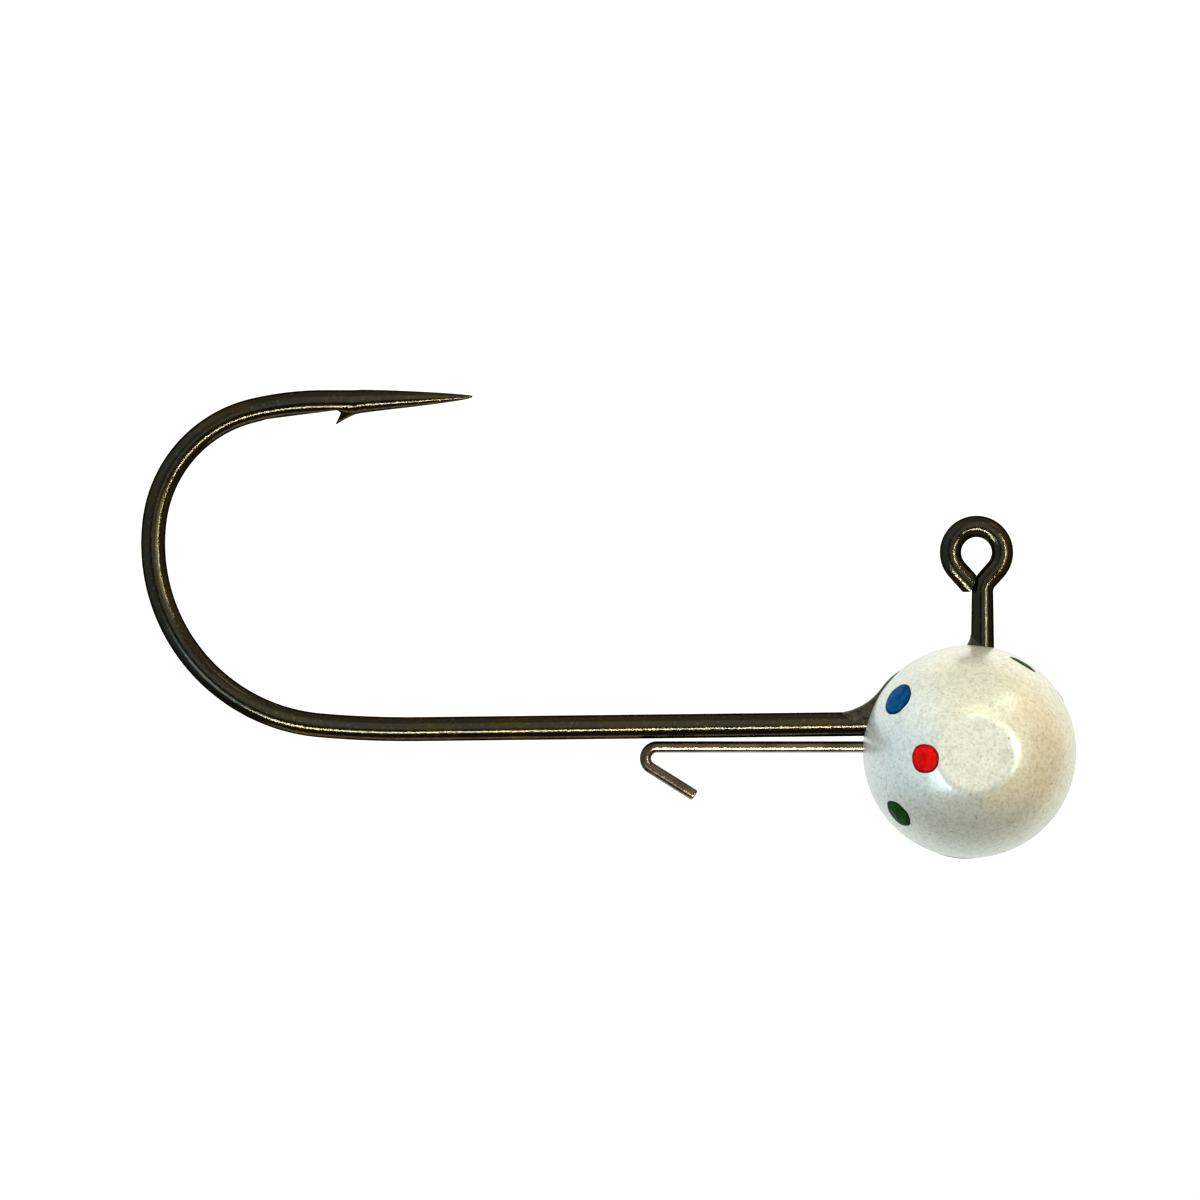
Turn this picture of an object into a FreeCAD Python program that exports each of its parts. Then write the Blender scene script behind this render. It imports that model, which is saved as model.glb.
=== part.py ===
# Jig head: a round painted tungsten ball soldered to a jig hook whose neck is bent
# 90 degrees, with a thin wire bait keeper under the shank.
#
# Millimetres. +Z is up, +X points to the nose of the ball, and the hook lies in the
# plane Y = 0. The origin is the centre of the line eye, from which the jig hangs.
import FreeCAD, Part

import math
import os

import Sketcher
from FreeCAD import Rotation, Vector

# word in the sheet, value in millimetres or degrees, what it measures
DIMENSIONS = [
    ("ball_diameter", 10.7, "ball over its base coat"),
    ("flat_diameter", 3.92, "sharp-edged width of the flat on each side of the ball"),
    ("flat_edge_radius", 1.2, "rounding between a flat and the ball"),
    ("coat_thickness", 0.1, "base coat on the metal"),
    ("ball_drop", 9.96, "eye centre down to ball centre"),
    ("ball_setback", 0.35, "eye centre back to ball centre"),
    ("slot_clearance", 0.05, "room for solder beside a wire in the slot"),
    ("slot_corner_radius", 1.5, "inner corner of the slot"),
    ("shank_wire", 1.22, "hook wire in the shank and the bend"),
    ("eye_wire", 1.08, "hook wire in the eye; the stem tapers down to it"),
    ("neck_rise", 1.42, "lowest point of the neck's axis above the ball centre"),
    ("neck_radius", 2.5, "neck inside the ball, on the wire's axis"),
    ("shank_slope", 0.66, "fall of the shank towards the bend"),
    ("shank_length", 25.66, "straight shank, from the neck to the heel"),
    ("heel_radius", 50.5, "first arc of the bend, almost straight"),
    ("heel_turn", 5.7, "turn of the first arc"),
    ("low_radius", 9.12, "second arc"),
    ("low_turn", 92.9, "turn of the second arc"),
    ("mid_radius", 6.46, "third arc"),
    ("mid_turn", 68.7, "turn of the third arc"),
    ("high_radius", 15.5, "last arc, up to the level leg"),
    ("leg_length", 1.52, "level wire from the bend to the point"),
    ("point_length", 5.87, "tapered point"),
    ("point_tip", 0.08, "width of the tip"),
    ("point_lift", 0.28, "tip above the axis of the leg"),
    ("nick_depth", 0.24, "nick behind the barb, into the wire"),
    ("nick_length", 1.85, "ramp of the nick"),
    ("barb_setback", 0.65, "root of the barb behind the start of the point"),
    ("barb_height", 0.5, "barb beyond the surface of the wire"),
    ("barb_rake", 24.4, "lean of the barb's rear face from upright"),
    ("barb_slope", 26.0, "slope of the barb's front face"),
    ("barb_crest", 0.06, "length of the barb's blunt crest"),
    ("barb_width", 0.8, "barb inside the wire"),
    ("barb_crest_width", 0.14, "barb at its crest"),
    ("eye_radius", 1.3, "ring of the eye, on the wire's axis"),
    ("stem_ahead", 0.3, "stem axis in front of the eye centre"),
    ("arm_angle", 48.0, "slope of the two arms of the eye"),
    ("stem_bend_radius", 0.95, "bend from the stem into the front arm"),
    ("tail_length", 1.08, "rear arm of the eye, on its axis, to its face along the stem"),
    ("tail_bevel", 30.0, "that face, away from square"),
    ("tail_foot_length", 1.5, "rear arm of the eye, on its axis, to its level foot"),
    ("keeper_diameter", 0.58, "bait keeper wire"),
    ("keeper_gap", 0.125, "keeper below the shank, where they are closest"),
    ("keeper_reach", 16.28, "stem axis back to the bend of the keeper"),
    ("keeper_start", 1.9, "stem axis back to the end of the keeper inside the ball"),
    ("keeper_bend_radius", 0.57, "bend of the keeper, on the wire's axis"),
    ("keeper_leg_angle", 32.0, "slope of the keeper's leg"),
    ("keeper_leg_length", 2.6, "straight part of the keeper's leg"),
    ("bead_width", 1.15, "solder bead along the mouth of the slot"),
    ("bead_sink", 0.03, "bead under the top of the shank where it starts"),
    ("bead_crown", 0.09, "bead above the surface of the ball"),
    ("bead_hollow_radius", 3.0, "hollow of the bead between shank and ball"),
    ("bead_back_radius", 3.5, "back of the bead over the ball"),
    ("bead_back_angle", 60.0, "turn of the back of the bead"),
    ("collar_shift", 0.19, "solder collar behind the stem axis"),
    ("collar_top_radius", 0.42, "collar where it meets the stem"),
    ("collar_foot_radius", 0.8, "collar at its foot"),
    ("collar_height", 0.5, "top of the collar above the top of the ball"),
    ("collar_foot_drop", 0.2, "foot of the collar below the top of the ball"),
    ("collar_hollow_radius", 0.9, "hollow of the collar"),
    ("dot_height", 0.06, "paint of a dot above the base coat"),
]

# Paint dots: name, side (-1 right, 1 left), clock angle in the side view from the nose
# towards the eye, tilt away from that side's axis, size around the ball, size outwards
DOTS = [
    ("dot_blue_right", -1, 144.3, 60.0, 1.65, 1.75),
    ("dot_red_right", -1, 185.2, 29.0, 1.43, 1.4),
    ("dot_green_right", -1, 219.6, 63.7, 1.5, 1.5),
    ("dot_green_top", -1, 59.4, 73.1, 1.42, 0.45),
    ("dot_green_nose", 1, 31.4, 84.0, 1.2, 1.2),
    ("dot_grey_nose", 1, 326.5, 82.0, 2.0, 1.7),
    ("dot_violet_belly", 1, 263.6, 83.0, 2.3, 1.8),
    ("dot_blue_left", 1, 144.3, 60.0, 1.65, 1.75),
    ("dot_red_left", 1, 185.2, 29.0, 1.43, 1.4),
    ("dot_green_left", 1, 219.6, 63.7, 1.5, 1.5),
]

POINT_SECTIONS = 6      # round sections that the tapered point is lofted through
POINT_FULLNESS = 0.7    # power that rounds the taper of the point: 1 is a straight cone
POINT_RISE = 0.6        # power that bends the axis of the point upwards
EXTRA = 1.0             # how far a cutting form runs past what it cuts
RUN_OUT = 1.4           # length of the nick's cutting ramp, in nick lengths

# The arcs of the bend in order, each to the turn that the wire has made by its end
HEEL_END = "(#heel_turn - #shank_slope)"
LOW_END = f"({HEEL_END} + #low_turn)"
MID_END = f"({LOW_END} + #mid_turn)"
BEND = [
    ("#heel_radius", "(-#shank_slope)", HEEL_END),
    ("#low_radius", HEEL_END, LOW_END),
    ("#mid_radius", LOW_END, MID_END),
    ("#high_radius", MID_END, "180"),
]
BEND_ACROSS = " + ".join(f"{r} * (sin({a} * 1deg) - sin({b} * 1deg))" for r, a, b in BEND)
BEND_UP = " + ".join(f"{r} * (cos({a} * 1deg) - cos({b} * 1deg))" for r, a, b in BEND)

# Places that several pieces share, as expressions of the sheet
BALL_RADIUS = "#ball_diameter / 2"
BALL_CENTRE = ("-#ball_setback", "0", "-#ball_drop")
NECK_X = "(#stem_ahead - #neck_radius)"
NECK_Z = "(#neck_rise + #neck_radius - #ball_drop)"
SHANK_FRONT_X = f"({NECK_X} + #neck_radius * sin(#shank_slope * 1deg))"
SHANK_FRONT_Z = f"({NECK_Z} - #neck_radius * cos(#shank_slope * 1deg))"
SHANK_REAR_X = f"({SHANK_FRONT_X} - #shank_length * cos(#shank_slope * 1deg))"
SHANK_REAR_Z = f"({SHANK_FRONT_Z} - #shank_length * sin(#shank_slope * 1deg))"
LEG_Z = f"({SHANK_REAR_Z} + {BEND_UP})"
POINT_X = f"({SHANK_REAR_X} + {BEND_ACROSS} + #leg_length)"
STEM_TOP_Z = (
    "(-#eye_radius * cos(#arm_angle * 1deg)"
    " - (#eye_radius * sin(#arm_angle * 1deg) - #stem_ahead) * tan(#arm_angle * 1deg)"
    " - #stem_bend_radius * tan((45 - #arm_angle / 2) * 1deg))"
)


def shank_height(behind):
    """Height of the shank's axis at a distance behind the stem's axis."""
    fall = f"({behind} - #neck_radius) * tan(#shank_slope * 1deg)"
    return f"({NECK_Z} - #neck_radius / cos(#shank_slope * 1deg) - {fall})"


KEEPER_Z = f"({shank_height('#keeper_reach')} - #shank_wire / 2 - #keeper_gap - #keeper_diameter / 2)"

doc = FreeCAD.newDocument("jig_head")
sheet = doc.addObject("Spreadsheet::Sheet", "dims")
for row, (word, value, meaning) in enumerate(DIMENSIONS, start=1):
    sheet.set(f"A{row}", meaning)
    sheet.set(f"B{row}", str(value))
    sheet.setAlias(f"B{row}", word)
doc.recompute()


def bind(item, path, expression):
    """Tie a property to the sheet. A # in the expression marks a word of the sheet."""
    item.setExpression(path, expression.replace("#", "dims."))


def number(expression):
    """Value that such an expression has now."""
    value = sheet.evalExpression(expression.replace("#", ""))
    return float(getattr(value, "Value", value))


def new_body(name, centre=("0", "0", "0")):
    """An empty body with its own origin at the given place."""
    body = doc.addObject("PartDesign::Body", name)
    for axis, expression in zip("xyz", centre):
        bind(body, f"Placement.Base.{axis}", expression)
    return body


def origin_part(body, role):
    """A plane or an axis of a body's own origin."""
    return next(item for item in body.Origin.OriginFeatures if item.Role == role)


def new_sketch(body, name, plane, offset="0"):
    """A sketch on one of the body's own planes, moved along the plane's normal."""
    sketch = body.newObject("Sketcher::SketchObject", name)
    sketch.AttachmentSupport = [(origin_part(body, plane), "")]
    sketch.MapMode = "FlatFace"
    bind(sketch, "AttachmentOffset.Base.z", offset)
    return sketch


def hold(sketch, kind, *places):
    """A geometric constraint between items, and points of items, of a sketch."""
    sketch.addConstraint(Sketcher.Constraint(kind, *places))


def measure(sketch, kind, *places, by):
    """A dimension of a sketch, tied to the sheet of dimensions."""
    index = sketch.addConstraint(Sketcher.Constraint(kind, *places, number(by)))
    name = f"size_{index}"
    sketch.renameConstraint(index, name)
    bind(sketch, f"Constraints.{name}", by)


def turn(sketch, item, by):
    """The angle that an arc spans, in degrees."""
    index = sketch.addConstraint(Sketcher.Constraint("Angle", item, math.radians(number(by))))
    name = f"turn_{index}"
    sketch.renameConstraint(index, name)
    bind(sketch, f"Constraints.{name}", f"({by}) * 1deg")


def pin(sketch, item, point, across="0", up="0"):
    """Fix a point of a sketch from the sketch's origin."""
    for expression, kind, axis in ((across, "DistanceX", -2), (up, "DistanceY", -1)):
        if expression == "0":
            hold(sketch, "PointOnObject", item, point, axis)
        else:
            measure(sketch, kind, -1, 1, item, point, by=expression)


def spot(across="0", up="0"):
    """Point of a sketch's plane."""
    return Vector(number(across), number(up), 0)


def polar(radius, degrees):
    """Point of a sketch's plane at a distance and an angle from the sketch's X axis."""
    return Vector(radius * math.cos(math.radians(degrees)), radius * math.sin(math.radians(degrees)), 0)


def line(sketch, start, end):
    """A straight edge."""
    return sketch.addGeometry(Part.LineSegment(start, end), False)


def arc(sketch, centre, radius, first, last):
    """An arc, anticlockwise between two angles in degrees."""
    circle = Part.Circle(centre, Vector(0, 0, 1), radius)
    return sketch.addGeometry(Part.ArcOfCircle(circle, math.radians(first), math.radians(last)), False)


def outline(sketch, corners):
    """A closed outline with straight edges, its corners fixed from the sketch's origin."""
    points = [spot(*corner) for corner in corners]
    edges = [line(sketch, start, end) for start, end in zip(points, points[1:] + points[:1])]
    for index, corner in enumerate(corners):
        hold(sketch, "Coincident", edges[index - 1], 2, edges[index], 1)
        pin(sketch, edges[index], 1, *corner)
    return edges


def round_section(body, name, plane, offset, diameter, across="0", up="0"):
    """A sketch of one circle, square to a wire."""
    sketch = new_sketch(body, name, plane, offset)
    circle = Part.Circle(spot(across, up), Vector(0, 0, 1), number(diameter) / 2)
    item = sketch.addGeometry(circle, False)
    pin(sketch, item, 3, across, up)
    measure(sketch, "Diameter", item, by=diameter)
    return sketch


def pipe(body, name, section, path):
    """A wire: a round section carried along a path."""
    feature = body.newObject("PartDesign::AdditivePipe", name)
    feature.Profile = section
    feature.Spine = (path, [f"Edge{index + 1}" for index in range(path.GeometryCount)])
    return feature


def ball_form(name, inset):
    """The ball with a rounded-off flat on each side, smaller all over by the inset."""
    radius = f"({BALL_RADIUS} - ({inset}))"
    flat = f"(sqrt(pow({BALL_RADIUS}; 2) - pow(#flat_diameter / 2; 2)) - ({inset}))"
    rounding = f"(#flat_edge_radius - ({inset}))"
    ball, face, edge = number(radius), number(flat), number(rounding)
    edge_up = face - edge
    edge_out = math.sqrt((ball - edge) ** 2 - edge_up ** 2)
    meet = math.degrees(math.atan2(edge_up, edge_out))
    body = new_body(name, BALL_CENTRE)
    sketch = new_sketch(body, f"{name}_profile", "XY_Plane")
    left_flat = line(sketch, Vector(0, face), Vector(edge_out, face))
    left_edge = arc(sketch, Vector(edge_out, edge_up), edge, meet, 90)
    side = arc(sketch, Vector(0, 0), ball, -meet, meet)
    right_edge = arc(sketch, Vector(edge_out, -edge_up), edge, -90, -meet)
    right_flat = line(sketch, Vector(edge_out, -face), Vector(0, -face))
    axis = line(sketch, Vector(0, -face), Vector(0, face))
    hold(sketch, "Tangent", left_flat, 2, left_edge, 2)
    hold(sketch, "Tangent", left_edge, 1, side, 2)
    hold(sketch, "Tangent", side, 1, right_edge, 2)
    hold(sketch, "Tangent", right_edge, 1, right_flat, 1)
    hold(sketch, "Coincident", right_flat, 2, axis, 1)
    hold(sketch, "Coincident", axis, 2, left_flat, 1)
    hold(sketch, "Horizontal", left_flat)
    hold(sketch, "Horizontal", right_flat)
    hold(sketch, "Equal", left_edge, right_edge)
    pin(sketch, side, 3)
    measure(sketch, "Radius", side, by=radius)
    measure(sketch, "Radius", left_edge, by=rounding)
    pin(sketch, left_flat, 1, "0", flat)
    pin(sketch, right_flat, 2, "0", f"-{flat}")
    turned = body.newObject("PartDesign::Revolution", f"{name}_turned")
    turned.Profile = sketch
    turned.ReferenceAxis = (origin_part(body, "Y_Axis"), [""])
    return body


def cut(name, base, *tools):
    """What is left of a shape when others are taken out of it."""
    tool = tools[0]
    if len(tools) > 1:
        tool = doc.addObject("Part::MultiFuse", f"{name}_tools")
        tool.Shapes = list(tools)
    result = doc.addObject("Part::Cut", name)
    result.Base = base
    result.Tool = tool
    return result


def joined(name, *shapes):
    """Shapes fused into one."""
    result = doc.addObject("Part::MultiFuse", name)
    result.Shapes = list(shapes)
    result.Refine = True
    return result


def shared(name, *shapes):
    """What shapes have in common."""
    result = doc.addObject("Part::MultiCommon", name)
    result.Shapes = list(shapes)
    return result


# --- hook ---------------------------------------------------------------------------

def shank_path(body):
    """Axis of the wire from the top of the neck, back along the shank and round the bend."""
    sketch = new_sketch(body, "shank_path", "XZ_Plane")
    slope = number("#shank_slope")
    front, rear = spot(SHANK_FRONT_X, SHANK_FRONT_Z), spot(SHANK_REAR_X, SHANK_REAR_Z)
    neck = arc(sketch, spot(NECK_X, NECK_Z), number("#neck_radius"), 270 + slope, 360)
    shank = line(sketch, front, rear)
    hold(sketch, "Tangent", neck, 1, shank, 1)
    measure(sketch, "Radius", neck, by="#neck_radius")
    pin(sketch, neck, 3, NECK_X, NECK_Z)
    turn(sketch, neck, "90 - #shank_slope")
    measure(sketch, "Distance", shank, by="#shank_length")
    hold(sketch, "Horizontal", neck, 2, neck, 3)
    start, before, joint = rear, shank, 2
    for radius, first, last in BEND:
        begin, end = 270 - number(first), 270 - number(last)
        centre = start - polar(number(radius), begin)
        start = centre + polar(number(radius), end)
        bend = arc(sketch, centre, number(radius), end, begin)
        hold(sketch, "Tangent", before, joint, bend, 2)
        measure(sketch, "Radius", bend, by=radius)
        turn(sketch, bend, f"{last} - {first}")
        before, joint = bend, 1
    leg = line(sketch, start, start + Vector(number("#leg_length"), 0, 0))
    hold(sketch, "Tangent", before, joint, leg, 1)
    measure(sketch, "Distance", leg, by="#leg_length")
    return sketch


def eye_path(body):
    """Axis of the wire from the top of the stem into the front arm and round the ring."""
    ring_radius, slope = number("#eye_radius"), number("#arm_angle")
    bend_radius = number("#stem_bend_radius")
    bend_centre = spot("#stem_ahead + #stem_bend_radius", STEM_TOP_Z)
    sketch = new_sketch(body, "eye_path", "XZ_Plane")
    bend = arc(sketch, bend_centre, bend_radius, 90 + slope, 180)
    bend_end = bend_centre + polar(bend_radius, 90 + slope)
    front_arm = line(sketch, bend_end, polar(ring_radius, slope - 90))
    ring = arc(sketch, Vector(0, 0, 0), ring_radius, slope - 90, 270 - slope)
    hold(sketch, "Tangent", bend, 1, front_arm, 1)
    hold(sketch, "Tangent", front_arm, 2, ring, 1)
    pin(sketch, ring, 3)
    measure(sketch, "Radius", ring, by="#eye_radius")
    measure(sketch, "Radius", bend, by="#stem_bend_radius")
    measure(sketch, "DistanceX", -1, 1, bend, 2, by="#stem_ahead")
    turn(sketch, bend, "90 - #arm_angle")
    turn(sketch, ring, "360 - 2 * #arm_angle")
    hold(sketch, "Horizontal", bend, 2, bend, 3)
    return sketch


def point_loft(body):
    """The tapered point: round sections that shrink and rise towards the tip."""
    sections = []
    for index in range(POINT_SECTIONS):
        along = index / (POINT_SECTIONS - 1)
        left = round((1 - along) ** POINT_FULLNESS, 4)
        rise = round((1 - left) ** POINT_RISE, 4)
        sections.append(
            round_section(
                body,
                f"point_section_{index}",
                "YZ_Plane",
                f"{POINT_X} + #point_length * {along}",
                f"#point_tip + (#shank_wire - #point_tip) * {left}",
                up=f"{LEG_Z} + #point_lift * {rise}",
            )
        )
    loft = body.newObject("PartDesign::AdditiveLoft", "point")
    loft.Profile = sections[0]
    loft.Sections = sections[1:]
    return loft


def nick_and_barb(body):
    """The nick cut into the inner side of the wire, and the barb raised in front of it."""
    root_x = f"({POINT_X} - #barb_setback)"
    surface = f"({LEG_Z} - #shank_wire / 2)"
    root_z = f"({surface} + #nick_depth)"
    lean = "tan(#barb_rake * 1deg)"
    below = f"({surface} - {EXTRA})"
    end_x = f"({root_x} - {RUN_OUT} * #nick_length)"
    end_z = f"({root_z} - {RUN_OUT} * #nick_depth)"
    sketch = new_sketch(body, "nick_outline", "XZ_Plane")
    outline(
        sketch,
        [
            (root_x, root_z),
            (end_x, end_z),
            (end_x, below),
            (f"{root_x} - (#nick_depth + {EXTRA}) * {lean}", below),
        ],
    )
    nick = body.newObject("PartDesign::Pocket", "nick")
    nick.Profile = sketch
    nick.SideType = "Symmetric"
    bind(nick, "Length", "2 * #shank_wire")

    crest_z = f"({surface} - #barb_height)"
    crest_x = f"({root_x} - (#nick_depth + #barb_height) * {lean})"
    front_x = f"({crest_x} + #barb_crest + (#nick_depth + #barb_height) / tan(#barb_slope * 1deg))"
    sections = []
    for name, height, rear, front, width in (
        ("barb_root", root_z, root_x, front_x, "#barb_width"),
        ("barb_crest", crest_z, crest_x, f"({crest_x} + #barb_crest)", "#barb_crest_width"),
    ):
        section = new_sketch(body, name, "XY_Plane", height)
        outline(
            section,
            [
                (rear, f"-{width} / 2"),
                (front, f"-{width} / 2"),
                (front, f"{width} / 2"),
                (rear, f"{width} / 2"),
            ],
        )
        sections.append(section)
    barb = body.newObject("PartDesign::AdditiveLoft", "barb")
    barb.Profile = sections[0]
    barb.Sections = sections[1:]
    barb.Ruled = True


def rod(name, radius, height, along, lean):
    """A round bar from a point on the axis of the eye's rear arm, leaning from upright."""
    bar = doc.addObject("Part::Cylinder", name)
    bar.Placement.Rotation = Rotation(Vector(0, 1, 0), number(lean))
    bind(bar, "Placement.Rotation.Angle", f"({lean}) * 1deg")
    bind(bar, "Radius", radius)
    bind(bar, "Height", height)
    bind(bar, "Placement.Base.x", f"-#eye_radius * sin(#arm_angle * 1deg) + {along} * cos(#arm_angle * 1deg)")
    bind(bar, "Placement.Base.z", f"-#eye_radius * cos(#arm_angle * 1deg) - {along} * sin(#arm_angle * 1deg)")
    return bar


def eye_tail():
    """The rear arm of the eye, cut off on a slant where it lies against the stem."""
    trim = "3 * #eye_wire"
    arm = rod("tail_bar", "#eye_wire / 2", "#tail_length + #eye_wire", "0", "90 + #arm_angle")
    face = rod("tail_face", trim, trim, "#tail_length", "90 + #arm_angle - #tail_bevel")
    foot = rod("tail_foot", trim, trim, "#tail_foot_length", "180")
    return cut("tail", arm, face, foot)


def make_hook():
    """The hook, one bent wire from the eye to the point."""
    body = new_body("hook_wire")
    start = round_section(body, "shank_section", "XY_Plane", NECK_Z, "#shank_wire", "#stem_ahead")
    pipe(body, "shank_and_bend", start, shank_path(body))
    stem_foot = round_section(body, "stem_foot", "XY_Plane", NECK_Z, "#shank_wire", "#stem_ahead")
    stem_top = round_section(body, "stem_top", "XY_Plane", STEM_TOP_Z, "#eye_wire", "#stem_ahead")
    stem = body.newObject("PartDesign::AdditiveLoft", "stem")
    stem.Profile = stem_foot
    stem.Sections = [stem_top]
    eye = round_section(body, "eye_section", "XY_Plane", STEM_TOP_Z, "#eye_wire", "#stem_ahead")
    pipe(body, "eye", eye, eye_path(body))
    point_loft(body)
    nick_and_barb(body)
    return joined("hook", body, eye_tail())


# --- bait keeper --------------------------------------------------------------------

def make_keeper():
    """The bait keeper: a thin wire under the shank, its end bent down and forward."""
    start_x, bend_x = "#stem_ahead - #keeper_start", "#stem_ahead - #keeper_reach"
    radius = number("#keeper_bend_radius")
    last = 270 - number("#keeper_leg_angle")
    centre = spot(bend_x, f"{KEEPER_Z} - #keeper_bend_radius")
    leg_start = centre + polar(radius, last)
    body = new_body("keeper_wire")
    sketch = new_sketch(body, "keeper_path", "XZ_Plane")
    run = line(sketch, spot(start_x, KEEPER_Z), spot(bend_x, KEEPER_Z))
    bend = arc(sketch, centre, radius, 90, last)
    leg = line(sketch, leg_start, leg_start + polar(number("#keeper_leg_length"), last + 90))
    hold(sketch, "Tangent", run, 2, bend, 1)
    hold(sketch, "Tangent", bend, 2, leg, 1)
    pin(sketch, run, 1, start_x, KEEPER_Z)
    pin(sketch, run, 2, bend_x, KEEPER_Z)
    measure(sketch, "Radius", bend, by="#keeper_bend_radius")
    turn(sketch, bend, "180 - #keeper_leg_angle")
    measure(sketch, "Distance", leg, by="#keeper_leg_length")
    section = round_section(body, "keeper_section", "YZ_Plane", start_x, "#keeper_diameter", up=KEEPER_Z)
    pipe(body, "keeper_pipe", section, sketch)
    return body


# --- ball, solder and paint -----------------------------------------------------------

def slot_form():
    """Space of the slot: the rear upper quarter of the ball, one wire thick."""
    front = "(#ball_setback + #stem_ahead + #shank_wire / 2 + #slot_clearance)"
    floor = f"({KEEPER_Z} + #ball_drop - #keeper_diameter / 2 - #slot_clearance)"
    outside = f"({BALL_RADIUS} + {EXTRA})"
    corner_radius = number("#slot_corner_radius")
    body = new_body("slot_form", BALL_CENTRE)
    sketch = new_sketch(body, "slot_outline", "XZ_Plane")
    rear_top, front_top = spot(f"-{outside}", outside), spot(front, outside)
    front_low = spot(front, f"{floor} + #slot_corner_radius")
    floor_front = spot(f"{front} - #slot_corner_radius", floor)
    floor_rear = spot(f"-{outside}", floor)
    rear = line(sketch, rear_top, floor_rear)
    bottom = line(sketch, floor_rear, floor_front)
    corner = arc(sketch, floor_front + Vector(0, corner_radius, 0), corner_radius, 270, 360)
    end = line(sketch, front_low, front_top)
    top = line(sketch, front_top, rear_top)
    hold(sketch, "Coincident", rear, 2, bottom, 1)
    hold(sketch, "Tangent", bottom, 2, corner, 1)
    hold(sketch, "Tangent", corner, 2, end, 1)
    hold(sketch, "Coincident", end, 2, top, 1)
    hold(sketch, "Coincident", top, 2, rear, 1)
    hold(sketch, "Horizontal", bottom)
    hold(sketch, "Vertical", end)
    pin(sketch, rear, 1, f"-{outside}", outside)
    pin(sketch, rear, 2, f"-{outside}", floor)
    pin(sketch, end, 2, front, outside)
    measure(sketch, "Radius", corner, by="#slot_corner_radius")
    pad = body.newObject("PartDesign::Pad", "slot_pad")
    pad.Profile = sketch
    pad.SideType = "Symmetric"
    bind(pad, "Length", "#shank_wire + 2 * #slot_clearance")
    return body


def solder_bead():
    """The bead in the slot's mouth: it leaves the top of the shank and climbs the ball."""
    crown = f"({BALL_RADIUS} + #bead_crown)"
    apart = f"({crown} + #bead_hollow_radius)"
    start = f"{BALL_RADIUS} + #ball_setback + #stem_ahead + #bead_hollow_radius / 2"
    shank_top = f"{shank_height(start)} + #ball_drop + #shank_wire / 2"
    up = f"({shank_top} - #bead_sink + #bead_hollow_radius)"
    back = f"(sqrt(pow({apart}; 2) - pow({up}; 2)))"
    hollow_turn = f"(90 - asin({up} / {apart}) / 1deg)"
    centre = spot(f"-{back}", up)
    hollow_radius = number("#bead_hollow_radius + #bead_width / 2")
    back_radius = number("#bead_back_radius - #bead_width / 2")
    touch = number(hollow_turn) - 90
    back_centre = centre + polar(hollow_radius + back_radius, touch)
    body = new_body("bead_form", BALL_CENTRE)
    sketch = new_sketch(body, "bead_path", "XZ_Plane")
    hollow = arc(sketch, centre, hollow_radius, 270, 360 + touch)
    last = touch + 180
    over = arc(sketch, back_centre, back_radius, last - number("#bead_back_angle"), last)
    hold(sketch, "Tangent", hollow, 2, over, 2)
    hold(sketch, "Vertical", hollow, 1, hollow, 3)
    pin(sketch, hollow, 3, f"-{back}", up)
    measure(sketch, "Radius", hollow, by="#bead_hollow_radius + #bead_width / 2")
    measure(sketch, "Radius", over, by="#bead_back_radius - #bead_width / 2")
    turn(sketch, hollow, hollow_turn)
    turn(sketch, over, "#bead_back_angle")
    start_up = f"{up} - #bead_hollow_radius - #bead_width / 2"
    section = round_section(body, "bead_section", "YZ_Plane", f"-{back}", "#bead_width", up=start_up)
    pipe(body, "bead_pipe", section, sketch)
    return body


def solder_collar():
    """The hollow-sided collar of solder round the foot of the stem."""
    top = f"({BALL_RADIUS} + #collar_height)"
    foot = f"({BALL_RADIUS} - #collar_foot_drop)"
    root = f"({BALL_RADIUS} - {EXTRA})"
    body = new_body("collar_form", ("#stem_ahead - #collar_shift", "0", "-#ball_drop"))
    sketch = new_sketch(body, "collar_profile", "XZ_Plane")
    axis_low, axis_top = spot("0", root), spot("0", top)
    foot_low, foot_top = spot("#collar_foot_radius", root), spot("#collar_foot_radius", foot)
    rim = spot("#collar_top_radius", top)
    radius = number("#collar_hollow_radius")
    chord = rim - foot_top
    outwards = Vector(chord.y, -chord.x, 0).normalize()
    centre = (rim + foot_top) * 0.5 + outwards * math.sqrt(radius ** 2 - (chord.Length / 2) ** 2)
    first = math.degrees(math.atan2(rim.y - centre.y, rim.x - centre.x))
    last = math.degrees(math.atan2(foot_top.y - centre.y, foot_top.x - centre.x))
    bottom = line(sketch, axis_low, foot_low)
    side = line(sketch, foot_low, foot_top)
    hollow = arc(sketch, centre, radius, first, last)
    cap = line(sketch, rim, axis_top)
    axis = line(sketch, axis_top, axis_low)
    hold(sketch, "Coincident", bottom, 2, side, 1)
    hold(sketch, "Coincident", side, 2, hollow, 2)
    hold(sketch, "Coincident", hollow, 1, cap, 1)
    hold(sketch, "Coincident", cap, 2, axis, 1)
    hold(sketch, "Coincident", axis, 2, bottom, 1)
    pin(sketch, bottom, 1, "0", root)
    pin(sketch, side, 1, "#collar_foot_radius", root)
    pin(sketch, side, 2, "#collar_foot_radius", foot)
    pin(sketch, cap, 1, "#collar_top_radius", top)
    pin(sketch, cap, 2, "0", top)
    measure(sketch, "Radius", hollow, by="#collar_hollow_radius")
    turned = body.newObject("PartDesign::Revolution", "collar_turned")
    turned.Profile = sketch
    turned.ReferenceAxis = (origin_part(body, "Z_Axis"), [""])
    return body


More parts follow.
